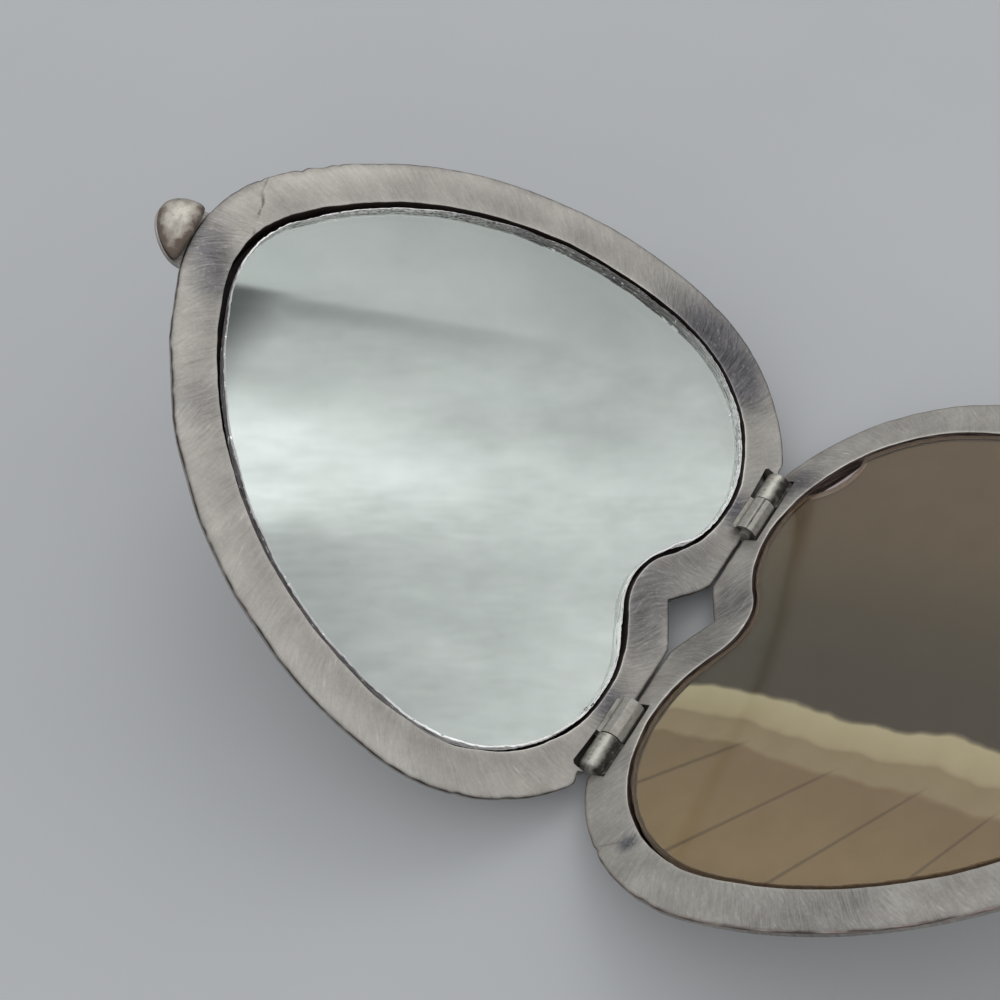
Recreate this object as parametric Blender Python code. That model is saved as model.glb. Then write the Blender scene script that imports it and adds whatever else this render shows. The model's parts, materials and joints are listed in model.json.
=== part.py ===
"""Heart-shaped compact of two cast pewter leaves: one holds a mirror, one a picture under a clear sheet.

Each leaf is modelled in its own leaf frame: x along the hinge axis, y from the axis towards the tip, and
z out of the open side, with the hinge axis as its origin. Half open and held there by its two tight hinges,
the compact stands on the swell of both backs, with the leaves rising to either side like an open book.
"""
import math

import bmesh
import bpy
from mathutils import Matrix, Vector

# Outer edge of a leaf: arcs that run into each other, with both lobes cut straight at the hinge axis, y = 0
LOBE_SPACING = 0.0242
LOBE_RADIUS = 0.0188
LOBE_OVERHANG = 0.0017
FLANK_RADIUS = 0.0433
FLANK_TURN = math.radians(-2.2)
TIP_RADIUS = 0.0160
CLEFT_RADIUS = 0.0025

# Casting of a leaf
LEAF_DEPTH = 0.0055
RIM_WIDTH = 0.0043
EDGE_WALL = 0.0005
BACK_INSET = 0.0090
RIM_EDGE_BEVEL = 0.0002
HINGE_CLEARANCE = 0.00018

# How far the hinge stands open at rest
OPENING_ANGLE = math.radians(120.0)

# Mirror leaf filling
MIRROR_SETBACK = 0.0004
GLASS_THICKNESS = 0.0018
GLASS_EDGE_GAP = 0.0004
GLASS_TIP_TRIM = 0.0006
GLUE_THICKNESS = 0.0004
GLUE_MARGIN = 0.0030

# Picture leaf filling
SHEET_SETBACK = 0.0006
SHEET_THICKNESS = 0.0008
SHEET_EDGE_GAP = 0.0003
CARD_THICKNESS = 0.0003
CARD_EDGE_GAP = 0.0005
PAD_THICKNESS = 0.0006
PAD_EDGE_GAP = 0.0008
SEAT_GAP = 0.0002

# Thumbnail notch in the clear sheet, on its outer lobe
NOTCH_RADIUS = 0.0045
NOTCH_BITE = 0.0016
NOTCH_ANGLE = math.radians(-54.0)

# Hinges: each side has one knuckle of each leaf, the mirror leaf's nearer the cleft
KNUCKLE_JOINT = 0.0154
KNUCKLE_LENGTH = 0.0036
KNUCKLE_GAP = 0.0002
BARREL_RADIUS = 0.00125
FOOT_REACH = 0.0014
FOOT_DEPTH = 0.00125
FOOT_SEAT_GAP = 0.0002
MIRROR_POCKET_RADII = (0.0016, 0.0020)
PICTURE_POCKET_RADII = (0.0016, 0.0016)
POCKET_END_GAP = 0.0006
PIN_RADIUS = 0.0005
PIN_CLEARANCE = 0.0001
PIN_END_COVER = 0.0006

# Bead that the picture leaf snaps behind, on a lug at the mirror leaf's tip
BEAD_OFF_CENTRE = 0.0038
BEAD_LENGTH = 0.0062
BEAD_REACH = 0.0046
BEAD_HEIGHT = 0.0024
BEAD_EDGE_GAP = 0.0003
BEAD_SEAT_GAP = 0.0002
BEAD_TAPER_SHARE = 0.30
LUG_THICKNESS = 0.0008
LUG_DROP = 0.0003
LUG_MARGIN = 0.0001
LUG_ROOT = 0.0020

# How far a cutter runs past what it cuts, and how fine the round shapes are
OVERRUN = 0.0010
WELD_DISTANCE = 0.00002
ARC_STEP = math.radians(6.0)
BACK_RINGS = 9
BEAD_RINGS = 14
BEAD_SEGMENTS = 24
FACETED_SIDES = 12
ROUND_SIDES = 32
PIN_SIDES = 24
SMOOTH_UP_TO = math.radians(35.0)

PEWTER = ("pewter", (0.38, 0.36, 0.33, 1.0), 0.42, 1.0)
AGED_PEWTER = ("aged pewter", (0.24, 0.21, 0.19, 1.0), 0.36, 1.0)
STEEL = ("steel pin", (0.42, 0.42, 0.42, 1.0), 0.3, 1.0)
MIRROR_GLASS = ("mirror glass", (0.72, 0.78, 0.75, 1.0), 0.04, 1.0)
GLUE = ("glue pad", (0.62, 0.58, 0.48, 1.0), 0.8, 0.0)
CLEAR_SHEET = ("clear sheet", (0.72, 0.68, 0.56, 1.0), 0.08, 0.0)
PICTURE = ("printed card", (0.20, 0.16, 0.11, 1.0), 0.5, 0.0)
BACKING = ("backing pad", (0.55, 0.51, 0.46, 1.0), 0.9, 0.0)


def clear_scene():
    for item in list(bpy.data.objects):
        bpy.data.objects.remove(item, do_unlink=True)


def new_collection(name):
    collection = bpy.data.collections.new(name)
    bpy.context.scene.collection.children.link(collection)
    return collection


def make_material(finish):
    name, colour, roughness, metallic = finish
    material = bpy.data.materials.get(name) or bpy.data.materials.new(name)
    material.use_nodes = True
    shader = material.node_tree.nodes["Principled BSDF"]
    shader.inputs["Base Color"].default_value = colour
    shader.inputs["Roughness"].default_value = roughness
    shader.inputs["Metallic"].default_value = metallic
    return material


def add_object(name, mesh, frame, collection, finish=None):
    item = bpy.data.objects.new(name, mesh)
    item.parent = frame
    collection.objects.link(item)
    if finish:
        mesh.materials.append(make_material(finish))
    else:
        item.hide_render = True
        item.display_type = "WIRE"
    return item


def add_frame(name, location, rotation, collection):
    """An empty that carries a leaf frame."""
    frame = bpy.data.objects.new(name, None)
    frame.location = location
    frame.rotation_euler = rotation
    collection.objects.link(frame)
    return frame


def arc(centre, radius, start, end):
    """Points along an arc, its last point left to whatever follows."""
    steps = max(2, round(abs(end - start) / ARC_STEP))
    turns = (start + (end - start) * step / steps for step in range(steps))
    return [(centre[0] + radius * math.cos(turn), centre[1] + radius * math.sin(turn)) for turn in turns]


def lobe_rise():
    """Height of the lobe centres, from which each lobe would reach a little past the hinge axis."""
    return LOBE_RADIUS - LOBE_OVERHANG


def cleft_height():
    """Height of the cleft arc's centre, where that arc runs into both lobes."""
    reach = LOBE_RADIUS + CLEFT_RADIUS
    return lobe_rise() - math.sqrt(reach**2 - (LOBE_SPACING / 2) ** 2)


def flank_centre(trim=0.0):
    """Centre of the right flank's arc, in line with the lobe that the flank runs on from."""
    back = FLANK_RADIUS - trim - LOBE_RADIUS
    return LOBE_SPACING / 2 - back * math.cos(FLANK_TURN), lobe_rise() - back * math.sin(FLANK_TURN)


def tip_height(trim=0.0):
    """Height of the tip arc's centre, inside both flanks."""
    reach = FLANK_RADIUS - trim - TIP_RADIUS
    x, y = flank_centre(trim)
    return y + math.sqrt(reach**2 - x**2)


def heart(inset, trim=0.0):
    """Heart outline at an even inset from a leaf's outer edge; trim rounds the tip off by flatter flanks."""
    lobe = (LOBE_SPACING / 2, lobe_rise())
    cleft = (0.0, cleft_height())
    flank = flank_centre(trim)
    tip = (0.0, tip_height(trim))
    cleft_turn = math.atan2(lobe[1] - cleft[1], lobe[0])
    flank_turn = math.atan2(tip[1] - flank[1], -flank[0])
    half = arc(cleft, CLEFT_RADIUS + inset, math.pi / 2, cleft_turn)
    half += arc(lobe, LOBE_RADIUS - inset, cleft_turn - math.pi, -math.pi / 2)
    half += arc(lobe, LOBE_RADIUS - inset, -math.pi / 2, FLANK_TURN)
    half += arc(flank, FLANK_RADIUS - trim - inset, FLANK_TURN, flank_turn)
    half += arc(tip, TIP_RADIUS - inset, flank_turn, math.pi / 2)
    peak = [(0.0, tip[1] + TIP_RADIUS - inset)]
    return half + peak + [(-x, y) for x, y in reversed(half[1:])]


def lifted(outline, z):
    return [Vector((x, y, z)) for x, y in outline]


def loft(name, rings):
    """Closed mesh through rings that run anticlockwise from the bottom one up."""
    shape = bmesh.new()
    rows = [[shape.verts.new(point) for point in ring] for ring in rings]
    for lower, upper in zip(rows, rows[1:]):
        for index in range(len(lower)):
            after = (index + 1) % len(lower)
            shape.faces.new((lower[index], lower[after], upper[after], upper[index]))
    shape.faces.new(list(reversed(rows[0])))
    shape.faces.new(rows[-1])
    mesh = bpy.data.meshes.new(name)
    shape.to_mesh(mesh)
    shape.free()
    return mesh


def plate_mesh(name, outline, bottom, thickness):
    """Flat plate from a filled 2D curve, made a mesh with its caps welded."""
    curve = bpy.data.curves.new(name, "CURVE")
    curve.dimensions = "2D"
    curve.fill_mode = "BOTH"
    curve.extrude = thickness / 2
    spline = curve.splines.new("POLY")
    spline.points.add(len(outline) - 1)
    for point, (x, y) in zip(spline.points, outline):
        point.co = (x, y, 0.0, 1.0)
    spline.use_cyclic_u = True
    holder = bpy.data.objects.new(name, curve)
    bpy.context.scene.collection.objects.link(holder)
    evaluated = holder.evaluated_get(bpy.context.evaluated_depsgraph_get())
    mesh = bpy.data.meshes.new_from_object(evaluated)
    bpy.data.objects.remove(holder, do_unlink=True)
    shape = bmesh.new()
    shape.from_mesh(mesh)
    bmesh.ops.remove_doubles(shape, verts=shape.verts, dist=WELD_DISTANCE)
    bmesh.ops.translate(shape, verts=shape.verts, vec=(0.0, 0.0, bottom + thickness / 2))
    shape.to_mesh(mesh)
    shape.free()
    return mesh


def box_mesh(name, low, high):
    """Box between two corners."""
    middle = (Vector(low) + Vector(high)) / 2
    extent = Vector(high) - Vector(low)
    shape = bmesh.new()
    bmesh.ops.create_cube(shape, size=1.0, matrix=Matrix.Translation(middle) @ Matrix.Diagonal(extent).to_4x4())
    mesh = bpy.data.meshes.new(name)
    shape.to_mesh(mesh)
    shape.free()
    return mesh


def rod_mesh(name, radii, start, end, sides):
    """Round bar on the hinge axis from one x to another, with a radius for each end."""
    along = Matrix.Translation(((start + end) / 2, 0.0, 0.0)) @ Matrix.Rotation(math.pi / 2, 4, "Y")
    turned = along @ Matrix.Rotation(math.pi / sides, 4, "Z")
    low_radius, high_radius = radii if start < end else reversed(radii)
    shape = bmesh.new()
    bmesh.ops.create_cone(
        shape, cap_ends=True, segments=sides, radius1=low_radius, radius2=high_radius, depth=abs(end - start),
        matrix=turned,
    )
    mesh = bpy.data.meshes.new(name)
    shape.to_mesh(mesh)
    shape.free()
    return mesh


def combine(item, tool, operation):
    """Boolean of one object by another, kept as a modifier."""
    modifier = item.modifiers.new(tool.name, "BOOLEAN")
    modifier.operation = operation
    modifier.solver = "EXACT"
    modifier.object = tool


def smooth_round(item):
    item.data.shade_smooth()
    item.data.set_sharp_from_angle(angle=SMOOTH_UP_TO)


def rim_level():
    """Height of a leaf's rim in its own frame, just under the hinge axis."""
    return -HINGE_CLEARANCE


def back_profile():
    """Inset and height of each ring of the bowl-shaped back, from its flat up to the thin edge of the rim."""
    bottom = rim_level() - LEAF_DEPTH
    shares = [step / BACK_RINGS for step in range(BACK_RINGS + 1)]
    return [(BACK_INSET * (1 - share), bottom + (LEAF_DEPTH - EDGE_WALL) * share**2) for share in shares]


def standing_height(lean):
    """Height of the hinge axis over the surface that the backs stand on, with both leaves raised by lean."""
    swell = [(inset - LOBE_OVERHANG, height) for inset, height in back_profile()]
    return -min(y * math.sin(lean) + z * math.cos(lean) for y, z in swell)


def casting_mesh(name):
    """Outside of a leaf: flat rim with a thin edge over a bowl-shaped back."""
    top = rim_level()
    rings = [lifted(heart(inset), height) for inset, height in back_profile()]
    rings.append(lifted(heart(0.0), top - RIM_EDGE_BEVEL))
    rings.append(lifted(heart(RIM_EDGE_BEVEL), top))
    return loft(name, rings)


def recess_cutter(name, depth):
    """Well in the rim, with a worn edge that flares upwards."""
    top = rim_level()
    flare = RIM_WIDTH - RIM_EDGE_BEVEL - OVERRUN
    rings = [
        lifted(heart(RIM_WIDTH), top - depth),
        lifted(heart(RIM_WIDTH), top - RIM_EDGE_BEVEL),
        lifted(heart(flare), top + OVERRUN),
    ]
    return loft(name, rings)


def hinge_trim(name):
    """Everything on the far side of the straight hinge edge."""
    half_width = LOBE_SPACING / 2 + LOBE_RADIUS + OVERRUN
    low = (-half_width, -LOBE_RADIUS, rim_level() - LEAF_DEPTH - OVERRUN)
    high = (half_width, HINGE_CLEARANCE, OVERRUN)
    return box_mesh(name, low, high)


def knuckle_span(side, inner):
    """The x where a knuckle starts and ends, the end nearer the joint between the knuckles first."""
    away = -1 if inner else 1
    near = KNUCKLE_JOINT + away * KNUCKLE_GAP / 2
    return side * near, side * (near + away * KNUCKLE_LENGTH)


def foot_seat(name, span):
    """Square slot in a leaf's hinge edge for the foot of its own knuckle."""
    low_x, high_x = sorted(span)
    low = (low_x - FOOT_SEAT_GAP, -OVERRUN, -FOOT_DEPTH - FOOT_SEAT_GAP)
    high = (high_x + FOOT_SEAT_GAP, FOOT_REACH + FOOT_SEAT_GAP, OVERRUN)
    return box_mesh(name, low, high)


def barrel_pocket(name, span, radii):
    """Round hollow on the hinge axis that the other leaf's barrel turns in, with a radius for each end."""
    near, far = span
    away = math.copysign(1.0, far - near)
    return rod_mesh(name, radii, near - away * KNUCKLE_GAP, far + away * POCKET_END_GAP, ROUND_SIDES)


def bead_frame():
    """Point on the outer edge that the bead stands on, x along that edge and y outwards."""
    turn = -math.asin(BEAD_OFF_CENTRE / TIP_RADIUS)
    outwards = Vector((math.sin(turn), math.cos(turn), 0.0))
    place = Vector((0.0, tip_height(), 0.0)) + outwards * TIP_RADIUS
    return Matrix.Translation(place) @ Matrix.Rotation(-turn, 4, "Z")


def bead_swell(place):
    """Share of the bead's full section at a place along it, which runs from minus one to one."""
    return (1 + BEAD_TAPER_SHARE * place) / (1 + BEAD_TAPER_SHARE)


def bead_mesh(name):
    """Egg-shaped half bead, blunt towards the tip of the heart, cut flat where it faces the rim and the lug."""
    shape = bmesh.new()
    bmesh.ops.create_uvsphere(shape, u_segments=BEAD_SEGMENTS, v_segments=BEAD_RINGS, radius=1.0)
    for vert in shape.verts:
        x, y, z = vert.co
        swell = bead_swell(x)
        vert.co = Vector((x * BEAD_LENGTH / 2, y * BEAD_REACH * swell, z * BEAD_HEIGHT * swell))
    bmesh.ops.bisect_plane(
        shape, geom=shape.verts[:] + shape.edges[:] + shape.faces[:],
        plane_co=(0.0, BEAD_EDGE_GAP, 0.0), plane_no=(0.0, -1.0, 0.0), clear_outer=True,
    )
    bmesh.ops.bisect_plane(
        shape, geom=shape.verts[:] + shape.edges[:] + shape.faces[:],
        plane_co=(0.0, 0.0, -LUG_DROP + BEAD_SEAT_GAP), plane_no=(0.0, 0.0, -1.0), clear_outer=True,
    )
    bmesh.ops.holes_fill(shape, edges=[edge for edge in shape.edges if edge.is_boundary])
    bmesh.ops.recalc_face_normals(shape, faces=shape.faces)
    place = bead_frame() @ Matrix.Translation((0.0, 0.0, rim_level()))
    bmesh.ops.transform(shape, matrix=place, verts=shape.verts)
    mesh = bpy.data.meshes.new(name)
    shape.to_mesh(mesh)
    shape.free()
    return mesh


def lug_mesh(name):
    """Shelf of the bead's own outline and a little more, rooted in the casting."""
    half_length = BEAD_LENGTH / 2 + LUG_MARGIN
    turns = [step * ARC_STEP for step in range(round(math.pi / ARC_STEP) + 1)]
    outline = [
        (half_length * math.cos(turn), LUG_MARGIN + BEAD_REACH * math.sin(turn) * bead_swell(math.cos(turn)))
        for turn in turns
    ]
    outline += [(-half_length, -LUG_ROOT), (half_length, -LUG_ROOT)]
    mesh = plate_mesh(name, outline, rim_level() - LUG_DROP - LUG_THICKNESS, LUG_THICKNESS)
    mesh.transform(bead_frame())
    return mesh


def make_leaf(prefix, recess_depth, inner_is_own, pocket_radii, frame, parts, cutters):
    """Casting of one leaf with its well, hinge edge, seats for its own knuckles and pockets for the others."""
    name = prefix + "_leaf_casting"
    casting = add_object(name, casting_mesh(name), frame, parts, PEWTER)
    tools = [
        recess_cutter(prefix + "_recess_cutter", recess_depth),
        hinge_trim(prefix + "_hinge_trim"),
    ]
    for side, hand in ((1, "right"), (-1, "left")):
        own = knuckle_span(side, inner_is_own)
        other = knuckle_span(side, not inner_is_own)
        tools.append(foot_seat(prefix + "_foot_seat_" + hand, own))
        tools.append(barrel_pocket(prefix + "_barrel_pocket_" + hand, other, pocket_radii))
    for mesh in tools:
        combine(casting, add_object(mesh.name, mesh, frame, cutters), "DIFFERENCE")
    return casting


def make_knuckle(name, side, inner, sides, finish, frame, parts, cutters):
    """Barrel on the hinge axis with a square foot that seats in its own leaf."""
    near, far = knuckle_span(side, inner)
    barrel = rod_mesh(name, (BARREL_RADIUS, BARREL_RADIUS), near, far, sides)
    knuckle = add_object(name, barrel, frame, parts, finish)
    low_x, high_x = sorted((near, far))
    foot = box_mesh(name + "_foot", (low_x, 0.0, -FOOT_DEPTH), (high_x, FOOT_REACH, rim_level()))
    combine(knuckle, add_object(foot.name, foot, frame, cutters), "UNION")
    bore_end = far - math.copysign(PIN_END_COVER, far - near)
    bore_start = near - math.copysign(OVERRUN, far - near)
    bore_radius = PIN_RADIUS + PIN_CLEARANCE
    bore = rod_mesh(name + "_bore", (bore_radius, bore_radius), bore_start, bore_end, PIN_SIDES)
    combine(knuckle, add_object(bore.name, bore, frame, cutters), "DIFFERENCE")
    smooth_round(knuckle)


def make_pin(name, side, frame, parts):
    """Pin through both knuckles of one hinge, closed in at both ends."""
    cover = PIN_END_COVER + PIN_CLEARANCE
    inner_end = knuckle_span(side, True)[1] + side * cover
    outer_end = knuckle_span(side, False)[1] - side * cover
    rod = rod_mesh(name, (PIN_RADIUS, PIN_RADIUS), inner_end, outer_end, PIN_SIDES)
    smooth_round(add_object(name, rod, frame, parts, STEEL))


def mirror_recess_depth():
    return MIRROR_SETBACK + GLASS_THICKNESS + GLUE_THICKNESS + 2 * SEAT_GAP


def picture_recess_depth():
    return SHEET_SETBACK + SHEET_THICKNESS + CARD_THICKNESS + PAD_THICKNESS + 3 * SEAT_GAP


def make_mirror_filling(frame, parts):
    """Glass heart on its glue pad."""
    glass_bottom = rim_level() - MIRROR_SETBACK - GLASS_THICKNESS
    outline = heart(RIM_WIDTH + GLASS_EDGE_GAP, GLASS_TIP_TRIM)
    glass = plate_mesh("mirror_glass", outline, glass_bottom, GLASS_THICKNESS)
    add_object("mirror_glass", glass, frame, parts, MIRROR_GLASS)
    glue_outline = heart(RIM_WIDTH + GLASS_EDGE_GAP + GLUE_MARGIN, GLASS_TIP_TRIM)
    glue = plate_mesh("mirror_glue_pad", glue_outline, glass_bottom - SEAT_GAP - GLUE_THICKNESS, GLUE_THICKNESS)
    add_object("mirror_glue_pad", glue, frame, parts, GLUE)


def notch_cutter(name):
    """Round bite that a thumbnail lifts the clear sheet by."""
    sheet_edge = LOBE_RADIUS - RIM_WIDTH - SHEET_EDGE_GAP
    distance = sheet_edge - NOTCH_BITE + NOTCH_RADIUS
    x = -(LOBE_SPACING / 2 + distance * math.cos(NOTCH_ANGLE))
    y = lobe_rise() + distance * math.sin(NOTCH_ANGLE)
    outline = arc((x, y), NOTCH_RADIUS, 0.0, 2 * math.pi)
    depth = SHEET_SETBACK + SHEET_THICKNESS + SEAT_GAP / 2
    return plate_mesh(name, outline, rim_level() - depth, depth + OVERRUN)


def make_picture_filling(frame, parts, cutters):
    """Clear sheet over a printed card and its backing pad."""
    sheet_bottom = rim_level() - SHEET_SETBACK - SHEET_THICKNESS
    sheet_mesh = plate_mesh("clear_sheet", heart(RIM_WIDTH + SHEET_EDGE_GAP), sheet_bottom, SHEET_THICKNESS)
    sheet = add_object("clear_sheet", sheet_mesh, frame, parts, CLEAR_SHEET)
    notch = notch_cutter("thumbnail_notch")
    combine(sheet, add_object(notch.name, notch, frame, cutters), "DIFFERENCE")
    card_bottom = sheet_bottom - SEAT_GAP - CARD_THICKNESS
    card = plate_mesh("picture_card", heart(RIM_WIDTH + CARD_EDGE_GAP), card_bottom, CARD_THICKNESS)
    add_object("picture_card", card, frame, parts, PICTURE)
    pad_bottom = card_bottom - SEAT_GAP - PAD_THICKNESS
    pad = plate_mesh("picture_backing_pad", heart(RIM_WIDTH + PAD_EDGE_GAP), pad_bottom, PAD_THICKNESS)
    add_object("picture_backing_pad", pad, frame, parts, BACKING)


def make_catch(casting, frame, parts, cutters):
    """Lug joined to the mirror casting, and the bead that sits on it."""
    lug = add_object("bead_lug", lug_mesh("bead_lug"), frame, cutters)
    combine(casting, lug, "UNION")
    bead = add_object("bead_catch", bead_mesh("bead_catch"), frame, parts, AGED_PEWTER)
    smooth_round(bead)


def centre_over_origin(frames, parts):
    """Slide both leaves along y until the whole compact is centred over the origin."""
    bpy.context.view_layer.update()
    graph = bpy.context.evaluated_depsgraph_get()
    reach = []
    for item in parts.objects:
        if item.type == "MESH":
            reach += [(item.matrix_world @ vert.co).y for vert in item.evaluated_get(graph).data.vertices]
    for frame in frames:
        frame.location.y -= (min(reach) + max(reach)) / 2


def main():
    clear_scene()
    parts = new_collection("compact mirror")
    cutters = new_collection("cutters")
    lean = (math.pi - OPENING_ANGLE) / 2
    hinge = (0.0, 0.0, standing_height(lean))
    mirror_leaf = add_frame("mirror_leaf_frame", hinge, (lean, 0.0, 0.0), parts)
    picture_leaf = add_frame("picture_leaf_frame", hinge, (lean, 0.0, math.pi), parts)

    mirror_casting = make_leaf(
        "mirror", mirror_recess_depth(), True, MIRROR_POCKET_RADII, mirror_leaf, parts, cutters
    )
    make_catch(mirror_casting, mirror_leaf, parts, cutters)
    make_mirror_filling(mirror_leaf, parts)
    make_leaf("picture", picture_recess_depth(), False, PICTURE_POCKET_RADII, picture_leaf, parts, cutters)
    make_picture_filling(picture_leaf, parts, cutters)
    for side, hand in ((1, "right"), (-1, "left")):
        mirror_name = "mirror_knuckle_" + hand
        make_knuckle(mirror_name, side, True, FACETED_SIDES, PEWTER, mirror_leaf, parts, cutters)
        picture_name = "picture_knuckle_" + hand
        make_knuckle(picture_name, -side, False, ROUND_SIDES, AGED_PEWTER, picture_leaf, parts, cutters)
        make_pin("hinge_pin_" + hand, -side, picture_leaf, parts)
    centre_over_origin((mirror_leaf, picture_leaf), parts)


main()
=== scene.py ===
import functools
import json
import math

import bpy
import numpy as np
from mathutils import Matrix


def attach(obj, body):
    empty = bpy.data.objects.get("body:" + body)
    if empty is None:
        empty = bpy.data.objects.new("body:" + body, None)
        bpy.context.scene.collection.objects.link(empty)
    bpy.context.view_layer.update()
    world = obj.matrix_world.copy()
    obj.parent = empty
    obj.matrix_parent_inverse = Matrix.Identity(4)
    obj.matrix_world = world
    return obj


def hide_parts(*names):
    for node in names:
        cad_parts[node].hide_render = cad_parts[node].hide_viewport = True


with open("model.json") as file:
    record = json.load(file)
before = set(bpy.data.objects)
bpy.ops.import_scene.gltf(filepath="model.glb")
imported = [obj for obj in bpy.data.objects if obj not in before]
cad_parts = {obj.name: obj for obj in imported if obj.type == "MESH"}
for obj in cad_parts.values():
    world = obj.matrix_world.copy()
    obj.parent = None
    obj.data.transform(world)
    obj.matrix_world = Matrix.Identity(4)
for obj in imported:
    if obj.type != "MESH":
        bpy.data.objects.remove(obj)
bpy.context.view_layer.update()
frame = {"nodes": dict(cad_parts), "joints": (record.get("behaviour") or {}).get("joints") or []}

# Castings of the two leaves, each one piece of pewter: a shallow bowl at the back, a rim dressed flat with an
# abrasive drawn across it, and a well for the filling. Slots in the hinge edge take the knuckles, and the mirror
# leaf has a lug at its tip. All lengths are millimetres in the leaf's frame: x along the hinge, y to the tip.
HINGE = np.array(frame["joints"][0]["pos_m"])
LEAN = math.radians(30.0)
LOBE_X, LOBE_Y, LOBE_RADIUS = 12.1, 17.1, 18.8
FLANK_RADIUS, FLANK_TURN = 43.3, math.radians(-2.2)
TIP_RADIUS, CLEFT_RADIUS = 16.0, 2.5
RIM_LEVEL, HINGE_EDGE = -0.18, 0.02
RIM_WIDTH = {"mirror_leaf": 4.28, "picture_leaf": 4.05}
LEAF_DEPTH, EDGE_WALL, BACK_INSET = 5.5, 0.5, 9.0
WELL_DEPTH = {"mirror_leaf": 3.0, "picture_leaf": 2.9}
EDGE_ROUND, LIP_ROUND = 0.16, 0.09
SEATS = {"mirror_leaf": (11.5, 15.5), "picture_leaf": (15.3, 19.3)}
SEAT_REACH, SEAT_LEVEL = 1.6, -1.45
POCKETS = {"mirror_leaf": (15.3, 19.6, 1.6, 1.85), "picture_leaf": (10.8, 15.5, 1.6, 1.6)}
BEAD_ANGLE = math.asin(3.8 / TIP_RADIUS)
LUG_HALF, LUG_REACH, LUG_TOP, LUG_BOTTOM, LUG_ROUND = 3.2, 4.55, -0.48, -1.0, 0.12
MIDDLE = (0.0, 26.0)
HINGE_ZONE, TIP_ZONE = 8.0, 50.0
SHADE_PATCH_LOW = -1.6
STATIONS = 1150
HAIR = 0.00006
ABOVE = 9.0


def heart_edge(way, trim=0.0):
    """Points of a leaf's outer edge, the directions straight out of it, and its length. way runs from 0 to 1
    anticlockwise from the cleft. Each half is four arcs that run into each other: point = centre + radius *
    direction, and the direction turns by distance / radius, which is negative at the cleft, the one hollow arc."""
    cleft = LOBE_Y - math.sqrt((LOBE_RADIUS + CLEFT_RADIUS) ** 2 - LOBE_X**2)
    back = FLANK_RADIUS - trim - LOBE_RADIUS
    flank = (LOBE_X - back * math.cos(FLANK_TURN), LOBE_Y - back * math.sin(FLANK_TURN))
    tip = flank[1] + math.sqrt((FLANK_RADIUS - trim - TIP_RADIUS) ** 2 - flank[0] ** 2)
    centres = np.array([(0.0, cleft), (LOBE_X, LOBE_Y), flank, (0.0, tip)])
    radii = np.array([-CLEFT_RADIUS, LOBE_RADIUS, FLANK_RADIUS - trim, TIP_RADIUS])
    lobe_start = math.atan2(LOBE_Y - cleft, LOBE_X) - math.pi
    tip_start = math.atan2(tip - flank[1], -flank[0])
    turns = np.array([-math.pi / 2, lobe_start, FLANK_TURN, tip_start, math.pi / 2])
    ends = np.concatenate(([0.0], np.cumsum(np.diff(turns) * radii)))
    run = (1 - np.abs(1 - 2 * way)) * ends[-1]
    part = np.clip(np.searchsorted(ends, run, side="right") - 1, 0, 3)
    turn = turns[part] + (run - ends[part]) / radii[part]
    side = np.stack((np.where(way < 0.5, 1.0, -1.0), np.ones_like(way)), -1)
    out = np.stack((np.cos(turn), np.sin(turn)), -1)
    return (centres[part] + radii[part, None] * out) * side, out * side, 2 * ends[-1]


def waves(x, y, size, seed, count=28):
    """Unevenness of about -1 to 1: a sum of plane waves of about one size, in directions from a seeded draw."""
    draw = np.random.default_rng(seed)
    turns, phases = draw.uniform(0, 2 * np.pi, (2, count))
    lengths = size * draw.uniform(0.6, 1.7, count)
    total = np.zeros(np.broadcast(x, y).shape)
    for turn, phase, length in zip(turns, phases, lengths):
        total += np.sin(2 * np.pi * (x * np.cos(turn) + y * np.sin(turn)) / length + phase)
    return total / math.sqrt(count)


def bump(distance, width):
    """Bell curve: 1 at distance 0, and almost nothing past twice the width."""
    return np.exp(-((distance / width) ** 2))


def on_leaf(points, leaf):
    """Leaf millimetres to the row frame: raised by LEAN about the hinge, and for the picture leaf turned half
    round the vertical."""
    x, y, z = np.moveaxis(points * 0.001, -1, 0)
    side = 1.0 if leaf == "mirror_leaf" else -1.0
    out = y * math.cos(LEAN) - z * math.sin(LEAN)
    up = y * math.sin(LEAN) + z * math.cos(LEAN)
    return np.stack((side * x, side * out, up), -1) + HINGE


def new_object(name, data):
    """Object of the scene that shows a mesh, lamp or camera."""
    made = bpy.data.objects.new(name, data)
    bpy.context.scene.collection.objects.link(made)
    return made


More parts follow.
